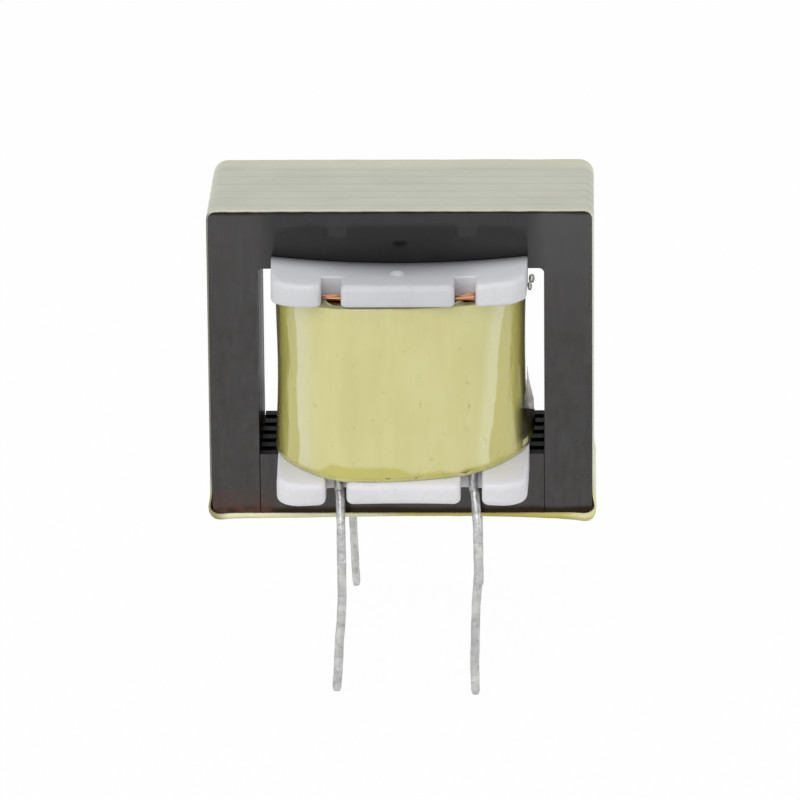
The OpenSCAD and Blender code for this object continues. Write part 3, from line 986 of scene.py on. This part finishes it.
# %% Windings: enamelled copper
WIRE_ROWS = 2.2                          # the wave's scale, for wires 0.14 mm apart
copper, shader, at = new_material("enamelled_copper", roughness=0.35, metallic=0.6, coat=0.5)
rows = add(copper, "TexWave", named={"Vector": at, "Scale": WIRE_ROWS, "Distortion": 0.6, "Detail": 1},
           out="Fac", bands_direction="Z")
patch = add(copper, "TexNoise", named={"Vector": at, "Scale": 1.2, "Detail": 3})
patch = add(copper, "MapRange", patch, 0.35, 0.65)
tone = painted(copper, "9c6240", ("c98a60", rows), ("c98f62", patch, 0.4))
connect(shader, "Base Color", tone)
connect(shader, "Normal", add(copper, "Bump", named={"Height": rows, "Distance": 0.03 * MM}))
for name, finish in (("primary_winding", copper), ("layer_tape", tape)):
    nodes[name].data.materials.clear()
    nodes[name].data.materials.append(finish)
print("copper on the primary winding, tape between the layers")

# %% [markdown]
# ### The outer turns
#
# The outer winding fills the tape's wall, so it takes the coil's own outline. Its CAD node
# is a plain oblong, which would stand off from the tape's swell, so a ring drawn in from
# the outline takes its place.

# %% Windings: outer turns
verts, faces = [], []
for inset, is_top in ((0.24, 0), (0.24, 1), (1.6, 1), (1.6, 0)):
    for i in range(AROUND):
        px, py = coil_point(i, inset)
        low, high = coil_heights(py)
        verts.append((px, py, high - 0.06 if is_top else low + 0.06))
for ring_no in range(4):
    for i in range(AROUND):
        k = (i + 1) % AROUND
        a, b = ring_no * AROUND, (ring_no + 1) % 4 * AROUND
        faces.append((b + i, b + k, a + k, a + i))
piece("outer_turns", verts, faces, copper, ["secondary_winding"])

# %% [markdown]
# ## The film round the core
#
# One turn of thin yellow film insulates the core. It is flush at the front, stands past
# the rear sheet as an unbacked skirt, hangs loose along the lower edge, and shows the
# sheets under it as ridges. A solidify modifier could thicken a bent strip, but the two
# skins are built directly, because their distance changes where the lower lip curls.

# %% Film: its cross-section
film_low, film_high = box_mm("core_film")
FILM_T = 0.07
film_half = CORE_HALF + 0.075
PITCH = 2 * 0.4915                       # the film shows every second sheet as a ridge
PITCH_START = 0.184                      # mm: moves the ridges on to the sheets


def film_loop(y_mm):
    """The film's outer outline at a depth, as corners with radii."""
    skirt = min(1, max(0, (y_mm - REAR_Y) / 1.4))
    half_w = film_half + 0.02 * skirt
    top_r = 0.34 + 0.2 * skirt
    return [(-half_w, film_low.z, 0.42), (half_w, film_low.z, 0.42),
            (half_w, film_high.z, top_r), (-half_w, film_high.z, top_r)]


def film_valley(y_mm):
    """1 in each valley between two ridges, and 0 on the ridges."""
    return max(0, math.cos(2 * math.pi * (y_mm + PITCH_START) / PITCH)) ** 3


print("film:", round(film_high.y - film_low.y, 2), "mm deep")

# %% [markdown]
# ### The film's points
#
# The cross-section is drawn anew at each depth, since the skirt grows a little wider and
# rounder. A loft between two curves would miss the valleys between the sheets, the loose
# lower corners and the ragged cuts, which are each a small push on the points here.

# %% Film: its points
ROUND, DEEP = 360, 72
verts, faces = [], []
for j in range(DEEP + 1):
    v = j / DEEP
    y_mm = film_low.y + (film_high.y - film_low.y) * v
    loop = resample(rounded_path(film_loop(y_mm), 10), ROUND)
    valley = film_valley(y_mm) if y_mm < REAR_Y + 0.2 else 0
    for layer in (0, 1):
        for i, p in enumerate(loop):
            before, after = loop[i - 1], loop[(i + 1) % ROUND]
            out_dir = Vector((after.y - before.y, before.x - after.x)).normalized()
            low_corner = (math.exp(-((abs(p.x) - film_half) / 0.5) ** 2)
                          * math.exp(-((p.y - film_low.z - 0.25) / 0.4) ** 2))
            out = 0.095 * low_corner - FILM_T * layer
            if p.y > 1.2:
                on_side = abs(p.x) > film_half - 0.3
                out -= valley * (0.045 if on_side and p.x > 0 else 0.012)
            q = p + out_dir * out
            lip = math.exp(-((y_mm - film_low.y) / 0.16) ** 2)
            lip *= min(1, max(0, (0.4 - p.y) / 0.3))
            to_right, to_left = min(1, max(0, p.x / 7)), min(1, max(0, -p.x / 7))
            q.y += lip * (0.075 if layer else 0.02 - 0.2 * to_right ** 3 - 0.1 * to_left)
            rag = 0.0
            if j == 0:
                rag = 0.04 * noise.noise(Vector((p.x * 2.2, p.y * 2.2, 3)))
            if j == DEEP:
                rag = 0.05 * noise.noise(Vector((p.x * 0.8, p.y * 0.8, 9))) - 0.05
            verts.append((q.x, y_mm + rag, q.y))
print("film:", len(verts), "points in two skins")

# %% [markdown]
# ### The film's faces
#
# Two skins and two cut edges. One small function gives a point's number, so the loops
# read as what they are: rows of faces between two neighbouring rings.

# %% Film: its faces


def film_index(j, layer, i):
    """The number of point i round the film, at depth j, in the outer or inner skin."""
    return (j * 2 + layer) * ROUND + i % ROUND


for j in range(DEEP):
    for i in range(ROUND):
        outer_quad = (film_index(j, 0, i), film_index(j, 0, i + 1),
                      film_index(j + 1, 0, i + 1), film_index(j + 1, 0, i))
        inner_quad = (film_index(j, 1, i), film_index(j + 1, 1, i),
                      film_index(j + 1, 1, i + 1), film_index(j, 1, i + 1))
        faces += [outer_quad, inner_quad]
for i in range(ROUND):
    faces.append((film_index(0, 0, i), film_index(0, 1, i), film_index(0, 1, i + 1),
                  film_index(0, 0, i + 1)))
    faces.append((film_index(DEEP, 0, i), film_index(DEEP, 0, i + 1),
                  film_index(DEEP, 1, i + 1), film_index(DEEP, 1, i)))
print("film:", len(faces), "faces")

# %% [markdown]
# ## Polyester film
#
# A thin yellow film over dark steel reads grey-green, and only where it hangs free does it
# show its own yellow. Real transparency would get there by itself, but grainily, so the
# colours are set by place. Fine drawing lines run across it: real ones are a few
# hundredths of a millimetre apart, and here they are 0.1 mm apart, to show.

# %% Film material: ground and ridges
film, shader, at = new_material("yellow_polyester_film", roughness=0.35, coat=0.15, ior=1.6)
x, y, z = add(film, "SeparateXYZ", at).node.outputs
smudge = add(film, "TexNoise", named={"Vector": at, "Scale": 0.45, "Detail": 4})
smudge = add(film, "MapRange", smudge, 0.35, 0.65)
drawn = add(film, "VectorMath", at, (0.35, 9, 9), operation="MULTIPLY")
lines = add(film, "TexNoise", named={"Vector": drawn, "Scale": 1.0, "Detail": 3})
lines = add(film, "MapRange", lines, 0.5, 0.75)
# painted shade: the valleys between the ridges of the sheets are darker
per_mm = 2 * math.pi / PITCH
phase = add(film, "Math", y, per_mm, PITCH_START * per_mm, operation="MULTIPLY_ADD")
valley = add(film, "Math", phase, operation="COSINE")
valley = add(film, "MapRange", valley, 0.75, 1.0, interpolation_type="SMOOTHSTEP")
on_core = add(film, "MapRange", y, REAR_Y + 0.4, REAR_Y + 0.1, interpolation_type="SMOOTHSTEP")
free = add(film, "MapRange", y, REAR_Y + 0.2, REAR_Y + 0.9, interpolation_type="SMOOTHSTEP")
loose = painted(film, "b9ba9f", ("c0c0a0", smudge))
tone = painted(film, "aeb09c", ("b6b8a3", smudge), (loose, free),
               ("8f927f", valley, on_core, 0.25), ("8f927f", lines, 0.12))
print("film: a ridge every", round(PITCH, 3), "mm")

# %% [markdown]
# ### Rim, flanks and the loose lower edge
#
# The cut front rim is paler on top, the flanks carry a painted reflection of the room,
# darker on the left, and along the bottom the film hangs free of the steel: cream at the
# left and yellow from the middle on, where two layers overlap, with painted shade in the far
# left corner. Splitting the mesh into parts with a material each would leave hard seams, so
# masks by place blend the tones.

# %% Film material: rim, flanks and the loose lower edge
rim = add(film, "MapRange", y, film_low.y + 0.16, film_low.y + 0.04,
          interpolation_type="SMOOTHSTEP")
top_rim = add(film, "MapRange", z, 11, 11.5, interpolation_type="SMOOTHSTEP")
beside = add(film, "Math", x, operation="ABSOLUTE")
beside = add(film, "MapRange", beside, 6.9, 7.03, interpolation_type="SMOOTHSTEP")
up_side = add(film, "MapRange", z, 0.8, 1.6, interpolation_type="SMOOTHSTEP")
right_flank = add(film, "MapRange", x, -1, 1, interpolation_type="SMOOTHSTEP")
flank = painted(film, "77766e", ("d3d5c6", right_flank))

middle = add(film, "MapRange", x, -1.5, 0.6, interpolation_type="SMOOTHSTEP")
right_foot = add(film, "MapRange", x, 5.8, 6.8, interpolation_type="SMOOTHSTEP")
# painted shade: olive in the far left corner, where the film's inside is seen in shadow
left_foot_shade = add(film, "MapRange", x, -6.3, -6.95, interpolation_type="SMOOTHSTEP")
below = add(film, "MapRange", z, 1.5, 0.6, interpolation_type="SMOOTHSTEP")
under = painted(film, "e6e3b6", ("c0b552", middle), ("dcd899", right_foot),
                ("958d58", left_foot_shade))
tone = painted(film, tone, ("c3c5b0", rim, top_rim), (flank, beside, up_side, rim),
               (under, below))
connect(shader, "Base Color", tone)
pressed = add(film, "Math", lines, -1, operation="MULTIPLY")
connect(shader, "Normal", add(film, "Bump", named={"Height": pressed, "Distance": 0.01 * MM}))
piece("core_wrap", verts, faces, film, ["core_film"])

# %% [markdown]
# ## Solder on the leads
#
# Stiff copper wire dipped in solder: silvery, but hardly a mirror, since the tin froze
# with a skin. Lumps are half a millimetre long and the dull spots 0.2 mm across. The lumps
# could be all bump, but they show in the outline too, so part of them is in the mesh.

# %% Leads: tinned wire
tin, shader, at = new_material("solder_dipped_wire", roughness=0.42, metallic=1.0)
lump = add(tin, "TexNoise", named={"Vector": at, "Scale": 1.8, "Detail": 4, "Roughness": 0.6})
lump = add(tin, "MapRange", lump, 0.35, 0.65)
spots = add(tin, "TexNoise", named={"Vector": at, "Scale": 5, "Detail": 3})
spots = add(tin, "MapRange", spots, 0.55, 0.68)
tone = painted(tin, "aaaaaa", ("c9c9c8", lump), ("8b8b8c", spots, 0.5))
connect(shader, "Base Color", tone)
connect(shader, "Normal", add(tin, "Bump", named={"Height": lump, "Distance": 0.03 * MM}))
print("tin: lumps every", round(1 / 1.8, 2), "mm")

# %% [markdown]
# ## The leads
#
# Each lead comes out of the coil and is bent down through its notch to the board. A curve
# object with a round bevel would sweep a wire too, but not a lumpy one with a blunt tip.
# So a ring of points is carried along the path and pushed in and out by noise. Each path
# is a few points listed down the real lead's middle. At the board three of them agree with
# the CAD leads to 0.02 mm, and the rear right one stands 0.12 mm further in.

# %% Leads: shapes


def wire(points, radius, sides=20, lumpy=0.0, seed=0.0, blunt=0.0):
    """A round tube along points, with its ends closed."""
    out_v, out_f = [], []
    count = len(points)
    for i, p in enumerate(points):
        along = (points[min(i + 1, count - 1)] - points[max(i - 1, 0)]).normalized()
        side_a = along.cross(Vector((0, 1, 0)))
        if side_a.length < 0.1:
            side_a = along.cross(Vector((1, 0, 0)))
        side_a.normalize()
        side_b = along.cross(side_a)
        from_tip = (p - points[-1]).length
        r = radius * (1 - blunt * math.exp(-(from_tip / 0.08) ** 2))
        for k in range(sides):
            a = 2 * math.pi * k / sides
            n = side_a * math.cos(a) + side_b * math.sin(a)
            wobble = lumpy * noise.noise((p + n * 0.3) * 1.8 + Vector((seed, 0, 0)))
            out_v.append(p + n * (r + wobble))
    for i in range(count - 1):
        for k in range(sides):
            m = (k + 1) % sides
            out_f.append((i * sides + k, i * sides + m, (i + 1) * sides + m, (i + 1) * sides + k))
    out_f.append(tuple(range(sides))[::-1])
    out_f.append(tuple((count - 1) * sides + k for k in range(sides)))
    return out_v, out_f


WIRE_R = {-1: 0.165, 1: 0.165 - 0.015}   # the front leads took more solder than the rear
LEADS = {  # x and z down each lead in mm, and the row's side
    "lead_front_left": (-1, [(-2.24, 4.6), (-2.24, 2.2), (-2.2, 1.7), (-2.17, 0.8),
                             (-2.16, -0.6), (-2.15, -1.8), (-2.2, -2.9), (-2.28, -3.9),
                             (-2.32, -4.7), (-2.39, -5.64)]),
    "lead_front_right": (-1, [(2.64, 4.6), (2.66, 2.2), (2.72, 1.7), (2.8, 0.8),
                              (2.83, -0.4), (2.83, -1.3), (2.76, -2.2), (2.73, -2.9),
                              (2.7, -3.9), (2.68, -4.9), (2.71, -5.78)]),
    "lead_rear_left": (1, [(-2.24, 4.6), (-2.24, 2.2), (-2.2, 1.7), (-2.16, 0.6),
                           (-2.15, -1.6), (-2.09, -3), (-2.03, -4.4), (-1.98, -5.58)]),
    "lead_rear_right": (1, [(2.64, 4.6), (2.64, 2.2), (2.66, 1.7), (2.7, 0.6),
                            (2.71, -1.6), (2.71, -3), (2.72, -4.4), (2.73, -5.58)]),
}
IN_COIL = 5.45                           # mm from the core's middle to the wires in the coil
LEAN = 0.6                               # mm farther out at the board
for n, (name, (end, path)) in enumerate(LEADS.items()):
    points = []
    for px, pz in path:
        lean = min(1, max(0, (2.0 - pz) / 1.5))
        points.append(Vector((px, end * (IN_COIL + LEAN * lean), pz)))
    v, f = wire(smooth_path(points), WIRE_R[end], lumpy=0.016, seed=7 * n, blunt=0.25)
    piece(name + "_dipped", v, f, tin, [name])

# %% [markdown]
# ## Turns across the notches
#
# The last turns cross the upper notches as single wires, and there the eye can tell them
# apart. A texture would be too flat for that, so five short wires are laid side by side in
# each notch, a little crossed, as the machine left them.

# %% Turns across the notches
TURNS, TURN_GAP = 5, 0.13                # wires in a notch, and mm between them
TURN_R = 0.06                            # mm: a wire's radius
TURN_Z = 9.28                            # mm: the height of the outermost wire
for n, (centre, width, length, _) in enumerate(NOTCHES[1]):
    for end in (-1, 1):
        verts, faces = [], []
        for k in range(TURNS):
            y_mm = end * (RIM - length + 0.1 + TURN_GAP * k)
            lift = TURN_Z + 0.01 * k
            tilt = 0.05 * math.sin(2.3 * k + n) + (0.04 if n else 0)
            points = [Vector((centre + width * 0.49 * t, y_mm + 0.05 * t * math.cos(k + n),
                              lift + tilt * t - 0.03 * t * t)) for t in (-1, -0.4, 0.3, 1)]
            keep(*wire(smooth_path(points, 4), TURN_R, sides=10))
        piece(f"notch_turns_{n}_{'front' if end < 0 else 'rear'}", verts, faces, copper)

# %% [markdown]
# ## The tape's loose end
#
# The last turn's end has come away and stands in the window at the right. Crumpled tape
# turns milky, since the glue lets in air. Glass with a rough inside would be true to that
# but noisy, so it is mostly plain grey with a fifth of its light let through.

# %% Loose end: clouded tape
loose_end, shader, at = new_material("clouded_tape_end", roughness=0.3, ior=1.6)
z = add(loose_end, "SeparateXYZ", at, out="Z")
hazy = add(loose_end, "TexNoise", named={"Vector": at, "Scale": 3, "Detail": 3})
hazy = add(loose_end, "MapRange", hazy, 0.35, 0.65)
downward = add(loose_end, "MapRange", z, 5.7, 4.7, interpolation_type="SMOOTHSTEP")
tone = painted(loose_end, "e0e0dc", ("8d8c86", downward), ("a9a89a", hazy, 0.2))
connect(shader, "Base Color", tone)
connect(shader, "Transmission Weight", 0.2)
connect(shader, "Normal", add(loose_end, "Bump", named={"Height": hazy, "Distance": 0.01 * MM}))

outer_edge = [(4.64, 5.95), (4.67, 5.65), (4.72, 5.35), (4.79, 5.05), (4.86, 4.75), (4.88, 4.35)]
inner_edge = [(4.62, 5.95), (4.62, 5.65), (4.61, 5.35), (4.57, 5.05), (4.5, 4.75), (4.5, 4.35)]
HALF_THICK = 0.015
verts, faces = [], []
for thick in (-HALF_THICK, HALF_THICK):
    for (ax, az), (bx, bz) in zip(outer_edge, inner_edge):
        verts += [(ax, -3.45 + thick, az), (bx, -3.35 + thick, bz)]
for k in range(0, 10, 2):
    faces += [(k, k + 2, k + 3, k + 1), (12 + k, 13 + k, 15 + k, 14 + k),
              (k, 12 + k, 14 + k, k + 2), (k + 1, k + 3, 15 + k, 13 + k)]
faces += [(0, 1, 13, 12), (10, 22, 23, 11)]
piece("tape_loose_end", verts, faces, loose_end)

# %% [markdown]
# ## The bead of varnish
#
# The finished part was dipped in varnish, and two drops have run together and set at the
# upper flange's right end. Metaballs would melt them into one, but two swollen spheres
# that overlap look the same from outside. The varnish is clear and almost glass smooth.

# %% Varnish bead
varnish, shader, at = new_material("clear_varnish", roughness=0.05, ior=1.5)
cloudy = add(varnish, "TexNoise", named={"Vector": at, "Scale": 3, "Detail": 3})
cloudy = add(varnish, "MapRange", cloudy, 0.35, 0.65)
connect(shader, "Base Color", painted(varnish, "e6e4df", ("f4f3ee", cloudy)))
connect(shader, "Transmission Weight", 0.85)
connect(shader, "Roughness", add(varnish, "Math", cloudy, 0.1, 0.03, operation="MULTIPLY_ADD"))

DROPS = (((4.8, -3.05, 9.2), (0.11, 0.12, 0.17)),      # each drop's centre and half sizes
         ((4.73, -3.1, 8.93), (0.08, 0.1, 0.17)))
RINGS, SLICES = 12, 24
verts, faces = [], []
for centre, radii in DROPS:
    base = len(verts)
    for j in range(RINGS + 1):
        for i in range(SLICES):
            a, b = math.pi * j / RINGS, 2 * math.pi * i / SLICES
            n = Vector((math.sin(a) * math.cos(b), math.sin(a) * math.sin(b), math.cos(a)))
            swell = 1 + 0.12 * noise.noise(n * 1.7 + Vector(centre))
            verts.append(tuple(centre[m] + radii[m] * n[m] * swell for m in range(3)))
    for j in range(RINGS):
        for i in range(SLICES):
            k = (i + 1) % SLICES
            faces.append((base + j * SLICES + i, base + (j + 1) * SLICES + i,
                          base + (j + 1) * SLICES + k, base + j * SLICES + k))
piece("varnish_bead", verts, faces, varnish)

# %% [markdown]
# ## The floor
#
# The part stands on white paper. Paper lit by lamps alone would grade to grey at its
# far end, so it glows for the rays that show it as a background, those from the camera
# and off or through shiny things, and stays plain paper for the light that falls on the
# part. The paper's mottle is some 20 mm wide.

# %% Floor


def seen_white(material):
    """1 on the rays that show a background: camera, mirror and clear ones."""
    path = add(material, "LightPath").node.outputs
    seen = add(material, "Math", path["Is Camera Ray"], path["Is Glossy Ray"],
               operation="MAXIMUM")
    return add(material, "Math", seen, path["Is Transmission Ray"], operation="MAXIMUM")


stage_mat, shader, at = new_material("matte_white_paper", roughness=0.9)
paper = add(stage_mat, "TexNoise", named={"Vector": at, "Scale": 0.05, "Detail": 2})
paper = add(stage_mat, "MapRange", paper, 0.35, 0.65)
connect(shader, "Base Color", painted(stage_mat, "f2f2f2", ("f5f5f5", paper)))
glow = add(stage_mat, "Emission", named={"Color": (1, 1, 1, 1), "Strength": 1.0})
share = add(stage_mat, "Math", seen_white(stage_mat), 0.97, operation="MULTIPLY")
mixed = add(stage_mat, "MixShader", share, shader.outputs[0], glow)
connect(stage_mat.node_tree.nodes["Material Output"], "Surface", mixed)

FLOOR_HALF = 400                         # mm
tip_z = min(box_mm(n)[0].z for n in nodes if n.startswith("lead_"))
corners = [Vector((sx * FLOOR_HALF, sy * FLOOR_HALF, tip_z)) * MM
           for sx, sy in ((-1, -1), (1, -1), (1, 1), (-1, 1))]
floor_mesh = bpy.data.meshes.new("floor")
floor_mesh.from_pydata(corners, [], [(0, 1, 2, 3)])
floor = bpy.data.objects.new("floor", floor_mesh)
bpy.context.scene.collection.objects.link(floor)
floor_mesh.materials.append(stage_mat)
print("floor at", round(tip_z, 2), "mm, under the lead tips")

# %% [markdown]
# ## The light
#
# Soft light from all round, a large softbox in front, another overhead, and two strips
# that draw a line down each side of the wires. Small lamps would give hard shadows and
# glints on the tape. The world glows evenly and is full white only where it is seen.

# %% World and lamps
WORLD_LIGHT = 0.45
world = bpy.data.worlds.new("studio")
bpy.context.scene.world = world
world.use_nodes = True
ground = world.node_tree.nodes["Background"]
connect(ground, "Color", (1, 1, 1, 1))
connect(ground, "Strength", add(world, "Math", seen_white(world), 1 - WORLD_LIGHT, WORLD_LIGHT,
                                operation="MULTIPLY_ADD"))


def softbox(name, location, size, power):
    """A rectangular lamp, placed in mm and aimed at the coil. Its power is in watts."""
    data = bpy.data.lights.new(name, "AREA")
    data.shape = "RECTANGLE"
    data.size, data.size_y = size[0] * MM, size[1] * MM
    data.energy = power
    obj = bpy.data.objects.new(name, data)
    bpy.context.scene.collection.objects.link(obj)
    obj.location = Vector(location) * MM
    aim = (Vector((0, 0, 5)) - Vector(location)).normalized()
    obj.rotation_euler = aim.to_track_quat("-Z", "Y").to_euler()


softbox("front", (-60, -330, 170), (260, 200), 0.47)
softbox("overhead", (0, -40, 330), (300, 240), 0.27)
softbox("left_strip", (-300, -60, 80), (60, 200), 0.16)
softbox("right_strip", (300, -60, 80), (60, 200), 0.16)

bpy.context.scene.view_settings.view_transform = "Standard"
print("lamps:", len(bpy.data.lights))
